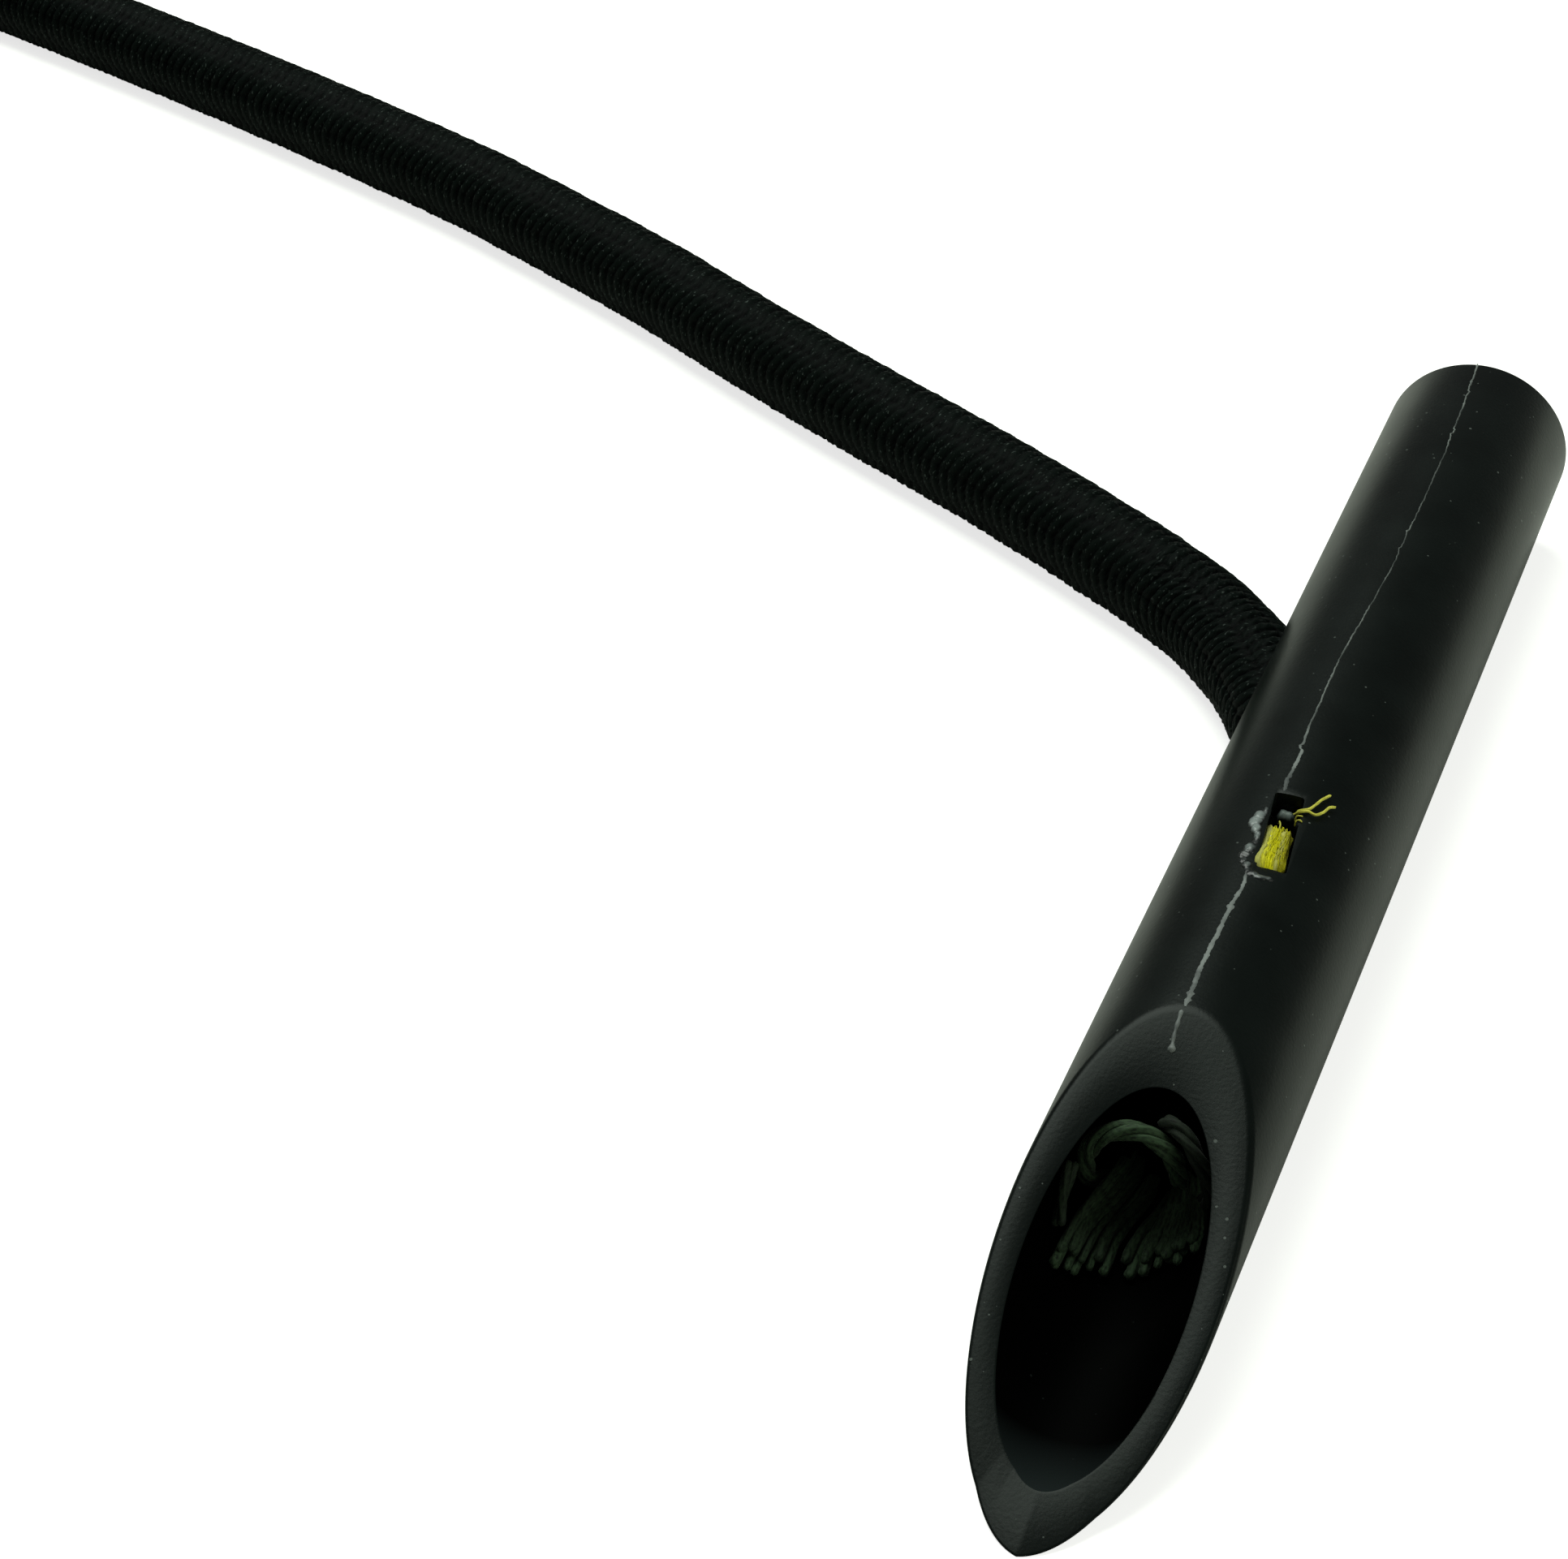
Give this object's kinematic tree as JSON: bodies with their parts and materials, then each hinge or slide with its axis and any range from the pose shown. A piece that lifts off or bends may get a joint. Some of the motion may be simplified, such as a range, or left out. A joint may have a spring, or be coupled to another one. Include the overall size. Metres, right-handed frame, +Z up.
{
  "type": "cord toggle",
  "caption": "Hollow slant-cut plastic tube used as a toggle, glued on the end of a braided elastic cord, its spare length coiled, tied and stopped by a knot.",
  "frame": {"origin": "on the surface the part lies on, under the middle of the toggle", "axes": "+X along the toggle towards its slanted end, +Z up, +Y away from the side where the cord enters"},
  "size_m": [0.1517, 0.2347, 0.0128],
  "materials": {
    "toggle_plastic": "satin moulded plastic, near black",
    "dried_glue": "whitish dried adhesive",
    "dark_glue": "clear adhesive over black cord",
    "yellow_core": "fuzzy bright yellow yarn",
    "frayed_sheath": "unravelled dark green-grey strands",
    "black_braid": "tight black synthetic braid",
    "tie_strap": "woven black strap"
  },
  "bodies": {
    "toggle": {"toggle_body": "toggle_plastic", "glue_bead": "dried_glue", "glue_collar": "dark_glue", "core_yarns": "yellow_core", "loose_threads": "yellow_core", "sheath_strands": "frayed_sheath", "cord_tail": "black_braid"},
    "cord": {"cord_neck": "black_braid", "cord_lead": "black_braid", "cord_coil": "black_braid", "coil_tie": "tie_strap", "stopper_knot": "black_braid"}
  },
  "joints": [
    {"name": "toggle_fold", "type": "hinge", "parent": "toggle", "child": "cord", "pos_m": [-0.0235, -0.0104, 0.0036], "axis": [0, 0, 1], "range_deg": [-45, 50], "deforming": ["cord_neck"]}
  ]
}
